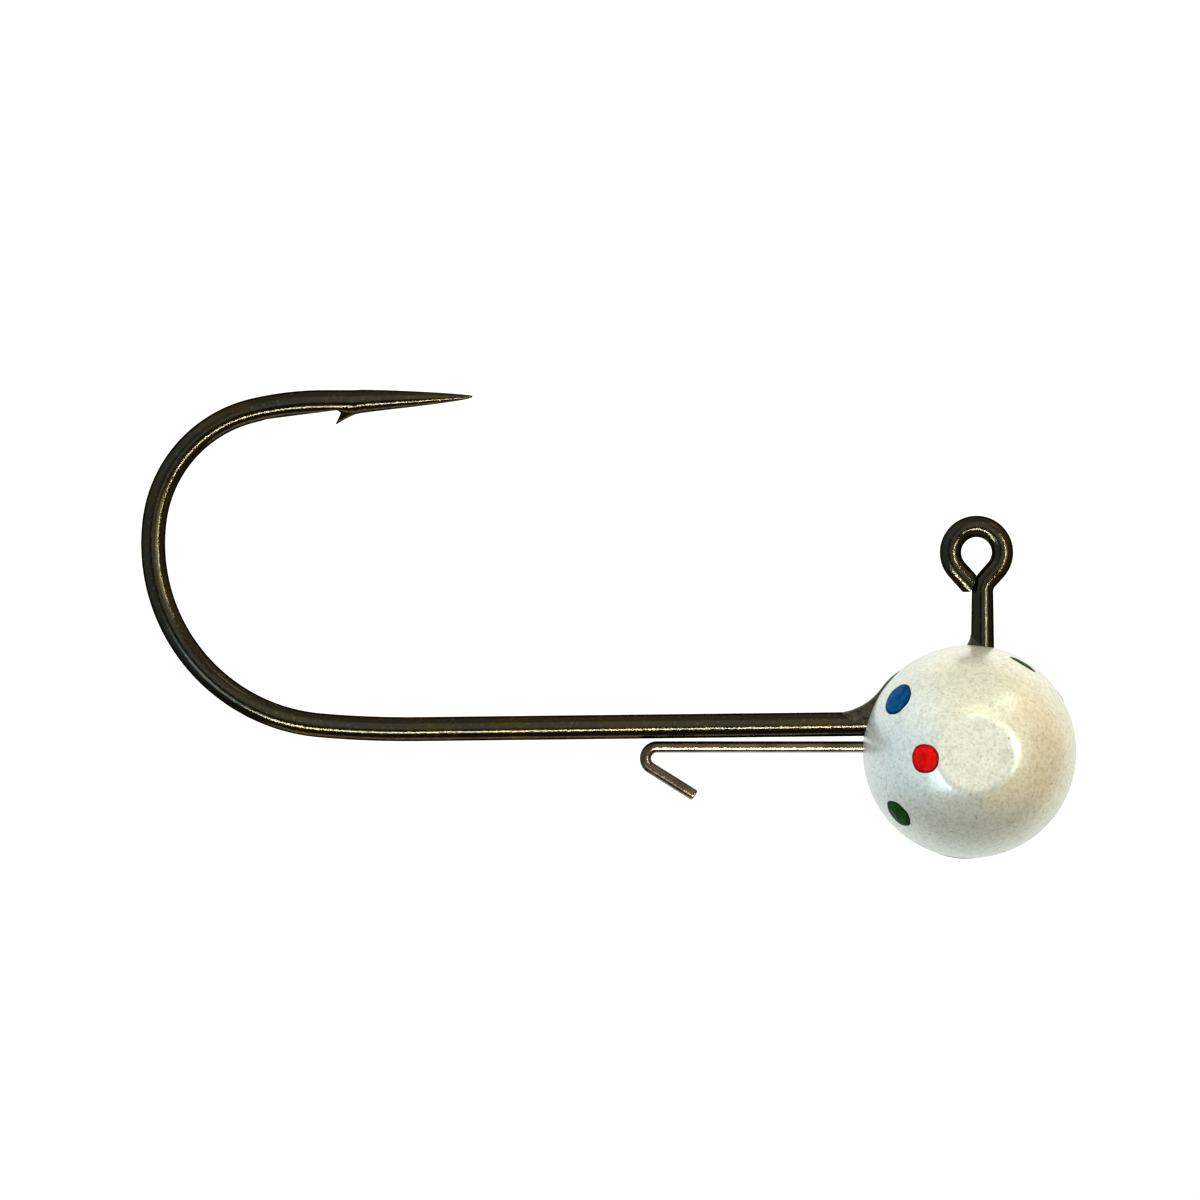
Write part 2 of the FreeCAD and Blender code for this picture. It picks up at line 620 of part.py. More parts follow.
def make_dot(name, side, clock, tilt, around, outwards, layer):
    """A dot of paint: the part of the paint layer inside an oval bar out of the ball."""
    across, along = polar(math.sin(math.radians(tilt)), clock), polar(1, clock + 90)
    out = Vector(across.x, side * math.cos(math.radians(tilt)), across.y)
    tangent = Vector(along.x, 0, along.y)
    oval = doc.addObject("Part::Ellipse", f"{name}_oval")
    oval.MajorRadius, oval.MinorRadius = around / 2, outwards / 2
    if outwards > around:
        oval.MajorRadius, oval.MinorRadius = outwards / 2, around / 2
        tangent = out.cross(tangent)
    oval.Placement.Rotation = Rotation(tangent, Vector(), out, "ZXY")
    for axis, expression in zip("xyz", BALL_CENTRE):
        bind(oval, f"Placement.Base.{axis}", expression)
    bar = doc.addObject("Part::Extrusion", f"{name}_bar")
    bar.Base = oval
    bar.DirMode = "Custom"
    bar.Dir = out
    bar.Solid = True
    bind(bar, "LengthFwd", f"{BALL_RADIUS} + {EXTRA}")
    return shared(name, layer, bar)


def check(items):
    """Stop at an object that failed, a cut that cut nothing or a piece that is not one solid."""
    for item in doc.Objects:
        if "Invalid" in item.State or "Error" in item.State:
            raise RuntimeError(f"{item.Label} did not compute: {item.State}")
        if item.TypeId in ("PartDesign::Pocket", "PartDesign::Groove"):
            if item.Shape.Volume >= item.BaseFeature.Shape.Volume:
                raise RuntimeError(f"{item.Label} cut nothing")
    for item in items:
        shape = item.Shape
        if shape.isNull() or not shape.isValid() or len(shape.Solids) != 1:
            raise RuntimeError(f"{item.Label} is not one sound solid")


hook = make_hook()
keeper = make_keeper()
metal_ball = ball_form("metal_ball", "#coat_thickness")
painted_ball = ball_form("painted_ball", "0")
dotted_ball = ball_form("dotted_ball", "-#dot_height")
slot = slot_form()
bead = solder_bead()
collar = solder_collar()
core = cut("head_core", metal_ball, slot)
solder_mass = joined("solder_mass", shared("slot_fill", metal_ball, slot), bead, collar)
solder = cut("slot_solder", solder_mass, core, hook, keeper)
coat = cut("base_coat", painted_ball, metal_ball, bead, collar, hook, keeper)
dot_layer = cut("dot_layer", dotted_ball, painted_ball)
dots = [make_dot(*dot, dot_layer) for dot in DOTS]

pieces = [hook, keeper, core, solder, coat, *dots]
doc.recompute()
check(pieces)

os.makedirs("parts", exist_ok=True)
for piece in pieces:
    piece.Shape.exportStep(f"parts/{piece.Label}.step")
    box = piece.Shape.BoundBox
    print(f"{piece.Label}: volume {piece.Shape.Volume:.4f}, x {box.XMin:.3f} {box.XMax:.3f}, "
          f"y {box.YMin:.3f} {box.YMax:.3f}, z {box.ZMin:.3f} {box.ZMax:.3f}")
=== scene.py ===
import math

import bmesh
import bpy
from bpy.props import FloatProperty, FloatVectorProperty, IntProperty, PointerProperty
from mathutils import Matrix, Vector, noise
from mathutils.bvhtree import BVHTree


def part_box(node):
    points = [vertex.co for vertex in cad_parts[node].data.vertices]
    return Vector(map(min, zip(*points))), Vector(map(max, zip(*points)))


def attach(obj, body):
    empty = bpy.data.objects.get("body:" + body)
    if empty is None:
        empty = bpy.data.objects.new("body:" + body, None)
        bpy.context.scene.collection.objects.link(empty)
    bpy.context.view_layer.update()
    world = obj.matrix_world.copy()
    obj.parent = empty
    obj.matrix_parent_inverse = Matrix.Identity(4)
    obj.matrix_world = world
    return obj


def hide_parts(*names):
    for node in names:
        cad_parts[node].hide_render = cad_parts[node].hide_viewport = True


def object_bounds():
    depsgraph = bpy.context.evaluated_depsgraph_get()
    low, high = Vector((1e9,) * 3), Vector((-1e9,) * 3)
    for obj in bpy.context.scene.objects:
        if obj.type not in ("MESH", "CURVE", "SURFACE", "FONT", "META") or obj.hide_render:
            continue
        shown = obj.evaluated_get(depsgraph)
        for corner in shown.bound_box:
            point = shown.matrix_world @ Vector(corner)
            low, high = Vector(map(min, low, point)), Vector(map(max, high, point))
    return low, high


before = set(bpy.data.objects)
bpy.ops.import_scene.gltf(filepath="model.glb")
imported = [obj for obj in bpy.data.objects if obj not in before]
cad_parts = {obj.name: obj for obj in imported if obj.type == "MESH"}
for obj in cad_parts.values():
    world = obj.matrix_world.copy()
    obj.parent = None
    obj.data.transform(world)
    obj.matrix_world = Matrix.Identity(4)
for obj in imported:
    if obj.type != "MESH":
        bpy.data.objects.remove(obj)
CAD_BOX = [list(corner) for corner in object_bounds()]

bl_info = {
    "name": "Ball jig head",
    "version": (1, 0, 0),
    "blender": (4, 5, 0),
    "location": "3D View > Sidebar > Jig Head",
    "description": "Builds a painted ball jig head on a black nickel hook, with its studio",
    "category": "Object",
}

MM = 0.001
BODY = "root"


# --- sizes that come from the frame -------------------------------------------------------

COAT_LOW, COAT_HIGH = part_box("base_coat")
BALL_RADIUS = (COAT_HIGH.x - COAT_LOW.x) / 2
BALL_CENTRE = Vector(((COAT_LOW.x + COAT_HIGH.x) / 2, 0, COAT_LOW.z + BALL_RADIUS))
FLAT_OFFSET = COAT_HIGH.y
KEEPER_LOW, KEEPER_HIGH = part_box("keeper_wire")
DOT_NODES = sorted(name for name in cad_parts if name.startswith("dot_"))


# --- settings -------------------------------------------------------------------------------

class JigWireSettings(bpy.types.PropertyGroup):
    shank_wire: FloatProperty(
        name="Shank wire", description="Diameter of the hook wire",
        default=1.22 * MM, min=0.2 * MM, max=4 * MM, precision=5, unit="LENGTH")
    eye_wire: FloatProperty(
        name="Eye wire", description="Diameter of the wire in the line eye",
        default=1.08 * MM, min=0.2 * MM, max=4 * MM, precision=5, unit="LENGTH")
    point_tip: FloatProperty(
        name="Point tip", description="Diameter of the ground tip of the point",
        default=0.08 * MM, min=0.01 * MM, max=1 * MM, precision=5, unit="LENGTH")
    keeper_wire: FloatProperty(
        name="Keeper wire", description="Diameter of the bait keeper wire",
        default=0.58 * MM, min=0.1 * MM, max=2 * MM, precision=5, unit="LENGTH")
    wire_sides: IntProperty(
        name="Wire sides", description="Faces round each wire", default=56, min=12, max=128)
    nickel_colour: FloatVectorProperty(
        name="Black nickel", description="Colour of the black nickel plate",
        subtype="COLOR_GAMMA", size=3, min=0, max=1, default=(0.182, 0.174, 0.140))
    keeper_colour: FloatVectorProperty(
        name="Keeper steel", description="Colour of the keeper's steel",
        subtype="COLOR_GAMMA", size=3, min=0, max=1, default=(0.33, 0.29, 0.235))


class JigBallSettings(bpy.types.PropertyGroup):
    radius: FloatProperty(
        name="Ball radius", description="Outer radius of the painted ball",
        default=BALL_RADIUS, min=1 * MM, max=20 * MM, precision=5, unit="LENGTH")
    flat_offset: FloatProperty(
        name="Flat offset", description="Distance from the ball's centre to each side flat",
        default=FLAT_OFFSET, min=1 * MM, max=20 * MM, precision=5, unit="LENGTH")
    rim_radius: FloatProperty(
        name="Flat's rim radius", description="Radius that rounds the rim of each flat",
        default=1.2 * MM, min=0.1 * MM, max=3 * MM, precision=5, unit="LENGTH")
    coat_wave: FloatProperty(
        name="Coat waviness", description="Depth of the soft waves in the hand-dipped coat",
        default=0.018 * MM, min=0, max=0.2 * MM, precision=6, unit="LENGTH")
    detail: IntProperty(
        name="Ball detail", description="Subdivisions of the ball's mesh", default=7, min=3, max=7)
    pearl_colour: FloatVectorProperty(
        name="Pearl enamel", description="Colour of the pearl enamel",
        subtype="COLOR_GAMMA", size=3, min=0, max=1, default=(0.94, 0.93, 0.89))
    blue_colour: FloatVectorProperty(
        name="Blue enamel", description="Colour of the blue dots",
        subtype="COLOR_GAMMA", size=3, min=0, max=1, default=(0.0, 0.30, 0.52))
    red_colour: FloatVectorProperty(
        name="Red enamel", description="Colour of the red dots",
        subtype="COLOR_GAMMA", size=3, min=0, max=1, default=(1.0, 0.07, 0.05))
    green_colour: FloatVectorProperty(
        name="Green enamel", description="Colour of the green dots",
        subtype="COLOR_GAMMA", size=3, min=0, max=1, default=(0.0, 0.27, 0.0))


class JigStageSettings(bpy.types.PropertyGroup):
    view_width: FloatProperty(
        name="View width", description="Width that the camera sees at the hook's plane",
        default=60 * MM, min=10 * MM, max=500 * MM, unit="LENGTH")
    camera_distance: FloatProperty(
        name="Camera distance", description="Camera to the hook's plane",
        default=300 * MM, min=50 * MM, max=3000 * MM, unit="LENGTH")
    floor_drop: FloatProperty(
        name="Floor drop", description="Floor below the lowest point of the ball",
        default=20 * MM, min=0, max=500 * MM, unit="LENGTH")


# --- small helpers --------------------------------------------------------------------------

def linear(colour):
    """sRGB hex text, or three sRGB numbers, as linear RGBA."""
    if isinstance(colour, str):
        colour = [int(colour[i:i + 2], 16) / 255 for i in (1, 3, 5)]
    return [c / 12.92 if c <= 0.04045 else ((c + 0.055) / 1.055) ** 2.4 for c in colour] + [1.0]


def add(tree, kind, inputs=None, **settings):
    """A node with its settings, and its inputs set or linked by name or number."""
    node = tree.nodes.new(kind)
    for name, value in settings.items():
        setattr(node, name, value)
    for key, value in (inputs or {}).items():
        socket = node.inputs[key]
        if isinstance(value, bpy.types.NodeSocket):
            tree.links.new(value, socket)
        else:
            socket.default_value = value
    return node


def new_material(name):
    """An empty node material, its tree, its Principled shader and its Object coordinates in mm."""
    material = bpy.data.materials.new(name)
    material.use_nodes = True
    tree = material.node_tree
    tree.nodes.clear()
    shader = add(tree, "ShaderNodeBsdfPrincipled")
    add(tree, "ShaderNodeOutputMaterial", {"Surface": shader.outputs[0]})
    place = add(tree, "ShaderNodeTexCoord").outputs["Object"]
    scaled = add(tree, "ShaderNodeVectorMath", {0: place, "Scale": 1 / MM}, operation="SCALE")
    return material, tree, shader, scaled.outputs[0]


def grain(tree, place, size_mm, detail=3.0, roughness=0.55, distortion=0.0):
    """Noise whose features are about size_mm across."""
    node = add(tree, "ShaderNodeTexNoise", {
        "Vector": place, "Scale": 1 / size_mm, "Detail": detail,
        "Roughness": roughness, "Distortion": distortion})
    return node.outputs["Fac"]


def ramp(tree, factor, stops):
    """Linear colours at places from 0 to 1."""
    node = add(tree, "ShaderNodeValToRGB", {"Fac": factor})
    band = node.color_ramp
    while len(band.elements) < len(stops):
        band.elements.new(0.5)
    for element, (at, colour) in zip(band.elements, stops):
        element.position = at
        element.color = linear(colour)
    return node.outputs["Color"]


def spread(tree, factor, low, high, start=0.0, end=1.0):
    """Maps a factor between start and end to low and high."""
    return add(tree, "ShaderNodeMapRange", {
        "Value": factor, "From Min": start, "From Max": end, "To Min": low, "To Max": high}).outputs[0]


def bump(tree, heights, shader):
    """Stacks bumps of (height, depth in mm) on the shader."""
    normal = None
    for height, depth in heights:
        inputs = {"Height": height, "Strength": 1.0, "Distance": depth * MM}
        if normal is not None:
            inputs["Normal"] = normal
        normal = add(tree, "ShaderNodeBump", inputs).outputs[0]
    tree.links.new(normal, shader.inputs["Normal"])


def finish_piece(obj, material, slot, *nodes):
    """Gives a piece its material and body, and hides the CAD nodes that it stands for. The slot
    argument is not used.
    """
    obj.data.materials.clear()
    obj.data.materials.append(material)
    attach(obj, BODY)
    if nodes:
        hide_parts(*nodes)


def new_object(name, mesh):
    obj = bpy.data.objects.new(name, mesh)
    bpy.context.scene.collection.objects.link(obj)
    return obj


def new_geometry_tree(name, sizes):
    """A Geometry Nodes tree with the named inputs (name, socket kind, value)."""
    tree = bpy.data.node_groups.new(name, "GeometryNodeTree")
    tree.interface.new_socket("Geometry", in_out="INPUT", socket_type="NodeSocketGeometry")
    tree.interface.new_socket("Geometry", in_out="OUTPUT", socket_type="NodeSocketGeometry")
    for word, kind, value in sizes:
        socket = tree.interface.new_socket(word, in_out="INPUT", socket_type=kind)
        if kind != "NodeSocketMaterial":
            socket.default_value = value
    return tree


def run_tree(obj, tree, sizes):
    """Runs a Geometry Nodes tree on an object and leaves the result as its plain mesh."""
    modifier = obj.modifiers.new(tree.name, "NODES")
    modifier.node_group = tree
    wanted = {word: value for word, _, value in sizes}
    for socket in tree.interface.items_tree:
        if socket.item_type == "SOCKET" and socket.in_out == "INPUT" and socket.name in wanted:
            modifier[socket.identifier] = wanted[socket.name]
    depsgraph = bpy.context.evaluated_depsgraph_get()
    made = bpy.data.meshes.new_from_object(obj.evaluated_get(depsgraph))
    obj.modifiers.remove(modifier)
    obj.data = made


# --- wires ------------------------------------------------------------------------------------

def walk(start, heading, runs, step=3.0, piece=0.3 * MM):
    """Points along straight runs ("line", length) and arcs ("arc", radius, degrees turned).

    The walk stays in the hook's plane. A positive turn is to the left of the heading."""
    x, z = start
    angle = math.radians(heading)
    points = [(x, z)]
    marks = [0]
    for kind, *size in runs:
        if kind == "line":
            count = max(2, round(size[0] / piece))
            for _ in range(count):
                x += size[0] / count * math.cos(angle)
                z += size[0] / count * math.sin(angle)
                points.append((x, z))
        else:
            radius, turn = size[0], math.radians(size[1])
            count = max(2, math.ceil(abs(turn) / math.radians(step)),
                        math.ceil(radius * abs(turn) / piece))
            side = math.copysign(1, turn)
            cx = x - side * radius * math.sin(angle)
            cz = z + side * radius * math.cos(angle)
            for _ in range(count):
                angle += turn / count
                x = cx + side * radius * math.sin(angle)
                z = cz - side * radius * math.cos(angle)
                points.append((x, z))
        marks.append(len(points) - 1)
    return points, marks


def wire_tree(sizes):
    """Sweeps a round section along a line, as thick at each point as its wire_radius says."""
    tree = bpy.data.node_groups.get("round_wire")
    if tree:
        return tree
    tree = new_geometry_tree("round_wire", sizes)
    given = add(tree, "NodeGroupInput")
    radius = add(tree, "GeometryNodeInputNamedAttribute", {"Name": "wire_radius"}, data_type="FLOAT")
    curve = add(tree, "GeometryNodeMeshToCurve", {"Mesh": given.outputs["Geometry"]})
    section = add(tree, "GeometryNodeCurvePrimitiveCircle", {
        "Resolution": given.outputs["Sides"], "Radius": 1.0})
    swept = add(tree, "GeometryNodeCurveToMesh", {
        "Curve": curve.outputs[0], "Profile Curve": section.outputs[0], "Fill Caps": True,
        "Scale": radius.outputs[0]})
    smooth = add(tree, "GeometryNodeSetShadeSmooth", {"Geometry": swept.outputs[0]})
    real = add(tree, "GeometryNodeRealizeInstances", {"Geometry": smooth.outputs[0]})
    made = add(tree, "GeometryNodeSetMaterial", {
        "Geometry": real.outputs[0], "Material": given.outputs["Material"]})
    add(tree, "NodeGroupOutput", {"Geometry": made.outputs[0]})
    return tree


def sweep(name, points, radii, sides, material):
    """A wire through points in the hook's plane, with a radius at each."""
    mesh = bpy.data.meshes.new(name)
    edges = [(i, i + 1) for i in range(len(points) - 1)]
    mesh.from_pydata([(x, 0, z) for x, z in points], edges, [])
    mesh.attributes.new("wire_radius", "FLOAT", "POINT").data.foreach_set("value", radii)
    obj = new_object(name, mesh)
    sizes = [("Sides", "NodeSocketInt", sides), ("Material", "NodeSocketMaterial", material)]
    run_tree(obj, wire_tree(sizes), sizes)
    return obj


def outward(obj, sharp):
    """Merges doubles, turns the faces outwards and keeps only real corners sharp."""
    work = bmesh.new()
    work.from_mesh(obj.data)
    bmesh.ops.remove_doubles(work, verts=work.verts, dist=0.0005 * MM)
    bmesh.ops.recalc_face_normals(work, faces=work.faces)
    work.to_mesh(obj.data)
    work.free()
    obj.data.shade_smooth()
    obj.data.set_sharp_from_angle(angle=math.radians(sharp))


# --- materials --------------------------------------------------------------------------------

def black_nickel(colour):
    """Black nickel plate on drawn, ground carbon steel: a dark smoky metal with a bright edge
    to its highlights, broken into sparks by the grain of the steel under it."""
    material, tree, shader, place = new_material("black_nickel_plate")
    # the smoky tint drifts between olive and brown over a few millimetres
    drift = grain(tree, place, 2.2, detail=2.0)
    tint = ramp(tree, drift, [
        (0.30, [c * f for c, f in zip(colour, (0.92, 0.92, 1.04))]),
        (0.50, list(colour)),
        (0.72, [c * f for c, f in zip(colour, (1.22, 1.08, 0.84))])])
    # thin spots in the plate, a tenth of a millimetre across
    spots = grain(tree, place, 0.16, detail=4.0, roughness=0.7)
    mixed = add(tree, "ShaderNodeMix", {
        0: spread(tree, spots, 0.0, 0.55, 0.58, 0.75), 6: tint, 7: linear("#6E6453")},
        data_type="RGBA")
    tree.links.new(mixed.outputs[2], shader.inputs["Base Color"])
    rough = spread(tree, spots, 0.07, 0.16, 0.35, 0.65)
    tree.links.new(rough, shader.inputs["Roughness"])
    shader.inputs["Metallic"].default_value = 1.0
    shader.inputs["Specular Tint"].default_value = linear("#8C8678")
    # drawing marks and plating grain, drawn about twice as coarse as real so that they show
    bump(tree, [
        (grain(tree, place, 0.45, detail=2.0), 0.010),
        (grain(tree, place, 0.11, detail=3.0, roughness=0.65), 0.007)], shader)
    return material


def keeper_steel(colour):
    """Bright drawn stainless spring wire: nearly mirror along the run, with fine die lines."""
    material, tree, shader, place = new_material("drawn_spring_steel")
    stretched = add(tree, "ShaderNodeMapping", {"Vector": place, "Scale": (0.12, 1.0, 1.0)})
    lines = grain(tree, stretched.outputs[0], 0.09, detail=4.0, roughness=0.7)
    stain = grain(tree, place, 0.9, detail=3.0)
    tint = ramp(tree, stain, [
        (0.35, [c * 0.72 for c in colour]),
        (0.60, list(colour))])
    tree.links.new(tint, shader.inputs["Base Color"])
    shader.inputs["Metallic"].default_value = 1.0
    tree.links.new(spread(tree, lines, 0.15, 0.27, 0.3, 0.7), shader.inputs["Roughness"])
    bump(tree, [(lines, 0.004), (grain(tree, place, 0.12), 0.005)], shader)
    return material


def tin_solder():
    """Tin solder, oxidised by the flux: dull brown-grey, rippled where it froze."""
    material, tree, shader, place = new_material("tin_solder")
    skin = grain(tree, place, 0.35, detail=4.0, roughness=0.6)
    tint = ramp(tree, skin, [(0.30, "#241F1A"), (0.55, "#3E3830"), (0.80, "#575044")])
    tree.links.new(tint, shader.inputs["Base Color"])
    shader.inputs["Metallic"].default_value = 0.85
    tree.links.new(spread(tree, skin, 0.34, 0.52), shader.inputs["Roughness"])
    bump(tree, [(grain(tree, place, 0.5, detail=2.0), 0.03), (skin, 0.012)], shader)
    return material


def sintered_tungsten():
    """Sintered tungsten alloy: matte grey metal with a pressed powder grain."""
    material, tree, shader, place = new_material("sintered_tungsten_alloy")
    powder = grain(tree, place, 0.08, detail=4.0, roughness=0.7)
    tint = ramp(tree, powder, [(0.3, "#56575A"), (0.7, "#7E7F82")])
    tree.links.new(tint, shader.inputs["Base Color"])
    shader.inputs["Metallic"].default_value = 1.0
    tree.links.new(spread(tree, powder, 0.5, 0.68), shader.inputs["Roughness"])
    bump(tree, [(powder, 0.012)], shader)
    return material


def pearl_enamel(colour):
    """Pearl enamel over a sintered ball: an off-white coat whose mica flakes give a soft wide
    gleam, with the powder grain of the metal showing through as fine sand and a few dark specks."""
    material, tree, shader, place = new_material("pearl_enamel")
    # mica settles unevenly, so the tone drifts over a few millimetres
    drift = grain(tree, place, 2.6, detail=3.0)
    tone = ramp(tree, drift, [
        (0.32, [c * f for c, f in zip(colour, (0.965, 0.975, 0.985))]),
        (0.52, list(colour)),
        (0.72, [c * f for c, f in zip(colour, (1.01, 1.005, 0.985))])])
    # sand grain, drawn at 0.17 mm, about twice as coarse as the powder, so that it shows
    sand = grain(tree, place, 0.17, detail=3.0, roughness=0.75)
    fine = grain(tree, place, 0.32, detail=3.0, roughness=0.6)
    shade = add(tree, "ShaderNodeMix", {
        0: spread(tree, sand, 0.56, 0.0, 0.30, 0.54), 6: tone, 7: linear("#A9A593")},
        data_type="RGBA")
    cloud = add(tree, "ShaderNodeMix", {
        0: spread(tree, fine, 0.30, 0.0, 0.34, 0.54), 6: shade.outputs[2], 7: linear("#B9B5A4")},
        data_type="RGBA")
    # dirt specks about 0.1 mm across, one every couple of millimetres
    cells = add(tree, "ShaderNodeTexVoronoi", {"Vector": place, "Scale": 1 / 0.8, "Randomness": 1.0})
    speck = spread(tree, cells.outputs["Distance"], 1.0, 0.0, 0.03, 0.09)
    rare = spread(tree, cells.outputs["Color"], 0.0, 1.0, 0.62, 0.68)
    both = add(tree, "ShaderNodeMath", {0: speck, 1: rare}, operation="MULTIPLY", use_clamp=True)
    skin = add(tree, "ShaderNodeMix", {
        0: both.outputs[0], 6: cloud.outputs[2], 7: linear("#5F6152")}, data_type="RGBA")
    tree.links.new(skin.outputs[2], shader.inputs["Base Color"])
    shader.inputs["Metallic"].default_value = 0.45
    tree.links.new(spread(tree, sand, 0.27, 0.38, 0.3, 0.7), shader.inputs["Roughness"])
    shader.inputs["Coat Weight"].default_value = 0.5
    shader.inputs["Coat Roughness"].default_value = 0.14
    shader.inputs["Sheen Weight"].default_value = 0.08
    bump(tree, [
        (grain(tree, place, 0.9, detail=2.0), 0.020),
        (fine, 0.012),
        (sand, 0.008)], shader)
    return material


def dot_enamel(name, colour, rim_tone):
    """Gloss enamel set by hand with a pin: thick and wet-looking in the middle, its colour
    darkened to a line at the rim."""
    material, tree, shader, place = new_material(f"{name}_gloss_enamel")
    rim = add(tree, "ShaderNodeAttribute", attribute_name="rim")
    flow = grain(tree, place, 0.30, detail=3.0, roughness=0.6)
    body = ramp(tree, flow, [
        (0.35, [c * 0.78 for c in colour]),
        (0.62, [min(1, c * 1.08) for c in colour])])
    # the colour is darkened to a line round the drop's rim
    edge = add(tree, "ShaderNodeMix", {
        0: spread(tree, rim.outputs["Fac"], 0.0, 0.9, 0.78, 0.95), 6: body,
        7: linear([c * rim_tone for c in colour])}, data_type="RGBA")
    tree.links.new(edge.outputs[2], shader.inputs["Base Color"])
    tree.links.new(spread(tree, flow, 0.16, 0.34, 0.35, 0.7), shader.inputs["Roughness"])
    shader.inputs["IOR"].default_value = 1.14
    shader.inputs["Specular IOR Level"].default_value = 0.2
    bump(tree, [(grain(tree, place, 0.35, detail=2.0), 0.09), (flow, 0.03)], shader)
    return material


def opal_acrylic():
    """Opal acrylic sheet lit from behind: it glows an even white, and what light falls on it
    mostly goes through."""
    material, tree, shader, place = new_material("opal_acrylic")
    milk = grain(tree, place, 30.0, detail=2.0)
    tree.links.new(ramp(tree, milk, [(0.3, "#868684"), (0.7, "#8A8A88")]), shader.inputs["Base Color"])
    shader.inputs["Roughness"].default_value = 0.9
    shader.inputs["Specular IOR Level"].default_value = 0.1
    shader.inputs["Emission Color"].default_value = (1, 1, 1, 1)
    shader.inputs["Emission Strength"].default_value = 1.0
    return material


# --- operators --------------------------------------------------------------------------------

class JIG_OT_hook(bpy.types.Operator):
    """Build the hook: eye, stem, neck, shank, bend, point and barb of one wire"""
    bl_idname = "jig.hook"
    bl_label = "Build hook"

    # from the cut end of the eye to the start of the point, as bent: lengths in mm, turns in degrees
    TAIL = 1.70
    # the cutter leaves two facets: a point on each and the way it faces, in the hook's plane
    TAIL_FACETS = (((-0.29, -1.985), (0.951, -0.309)), ((-0.5, -1.985), (0.0, -1.0)))
    # rings inside the cut end, as parts of the wire's radius, and the step between them
    CAP_RINGS = (0.02, 0.3, 0.6, 0.85, 0.97)
    CAP_STEP = 0.002
    EYE_RADIUS = 1.3
    ARM_ANGLE = 48.0
    ARM = 0.6309
    STEM_BEND = 0.95
    STEM = 4.066
    NECK = (2.5, -89.34)
    SHANK = 25.66
    BEND = ((50.5, -5.7), (9.12, -92.9), (6.46, -68.7), (15.5, -13.36))
    LEG = 1.52
    POINT = 5.87
    POINT_FULLNESS = 0.7
    POINT_LIFT = 0.28
    POINT_RISE = 0.6
    POINT_RINGS = 44
    # above 1, the rings stand closer together towards the tip
    POINT_CROWDING = 1.3
    # nick and barb, measured from the start of the barb, behind the start of the point
    BARB_SETBACK = 0.65
    NICK_DEPTH = 0.24
    NICK_LENGTH = 1.85
    BARB_HEIGHT = 0.5
    BARB_RAKE = 24.4
    BARB_SLOPE = 26.0
    BARB_CREST = 0.06
    BARB_WIDTH = 0.8
    BARB_CREST_WIDTH = 0.14

    def path(self):
        turned = math.radians(self.ARM_ANGLE)
        start = Vector((-self.EYE_RADIUS * math.sin(turned), -self.EYE_RADIUS * math.cos(turned)))
        start += self.TAIL * Vector((math.cos(turned), -math.sin(turned)))
        runs = [
            ("line", self.TAIL), ("arc", self.EYE_RADIUS, -(360 - 2 * self.ARM_ANGLE)),
            ("line", self.ARM), ("arc", self.STEM_BEND, 90 - self.ARM_ANGLE),
            ("line", self.STEM), ("arc", *self.NECK), ("line", self.SHANK)]
        runs += [("arc", *bend) for bend in self.BEND]
        runs += [("line", self.LEG)]
        runs = [(kind, size[0] * MM, *size[1:]) for kind, *size in runs]
        return walk(start * MM, 180 - self.ARM_ANGLE, runs)

    def execute(self, context):
        wire = context.scene.jig_wire
        points, marks = self.path()
        stem_start, stem_end = marks[4], marks[5]
        eye, shank = wire.eye_wire / 2, wire.shank_wire / 2
        radii = []
        for index in range(len(points)):
            part = min(1, max(0, (index - stem_start) / (stem_end - stem_start)))
            radii.append(eye + (shank - eye) * part)
        leg_x, leg_z = points[-1]
        for index in range(1, self.POINT_RINGS + 1):
            along = 1 - (1 - index / self.POINT_RINGS) ** self.POINT_CROWDING
            left = (1 - along) ** self.POINT_FULLNESS
            rise = self.POINT_LIFT * MM * (1 - left) ** self.POINT_RISE
            points.append((leg_x + self.POINT * MM * along, leg_z + rise))
            radii.append((wire.point_tip + (wire.shank_wire - wire.point_tip) * left) / 2)
        material = black_nickel(wire.nickel_colour)
        # the rings let the facets of the cut end keep their own faces
        caps = len(self.CAP_RINGS)
        first = Vector(points[0])
        back = (first - Vector(points[1])).normalized() * self.CAP_STEP * MM
        points[:0] = [tuple(first + back * (caps - i)) for i in range(caps)]
        radii[:0] = [eye * part for part in self.CAP_RINGS]
        hook = sweep("hook_wire", points, radii, wire.wire_sides, material)
        self.trim_tail(hook.data, (caps + marks[1]) * wire.wire_sides)
        self.cut_nick(hook.data, leg_x, leg_z - shank)
        self.raise_barb(hook.data, leg_x, leg_z - shank)
        outward(hook, 38)
        finish_piece(hook, material, "hook_steel", "hook")
        return {"FINISHED"}

    def trim_tail(self, mesh, count):
        """Slides what stands past the eye's cut end back along the wire, onto the cutter's facets."""
        angle = math.radians(self.ARM_ANGLE)
        along = Vector((math.cos(angle), 0, -math.sin(angle)))
        for vertex in mesh.vertices[:count]:
            past = 0.0
            for (x, z), (out_x, out_z) in self.TAIL_FACETS:
                out = Vector((out_x, 0, out_z))
                beyond = (vertex.co - Vector((x, 0, z)) * MM).dot(out) / along.dot(out)
                past = max(past, beyond)
            vertex.co -= along * past

    def cut_nick(self, mesh, leg_x, surface):
        """Flattens the inner side of the wire to the ramp of the nick."""
        root_x = leg_x - self.BARB_SETBACK * MM
        root_z = surface + self.NICK_DEPTH * MM
        slope = self.NICK_DEPTH / self.NICK_LENGTH
        lean = math.tan(math.radians(self.BARB_RAKE))
        for vertex in mesh.vertices:
            x, _, z = vertex.co
            behind = root_x - (root_z - z) * lean - x if z < root_z else root_x - x
            if 0 <= behind < 2 * self.NICK_LENGTH * MM and z > 0:
                vertex.co.z = max(z, root_z - slope * (root_x - x))

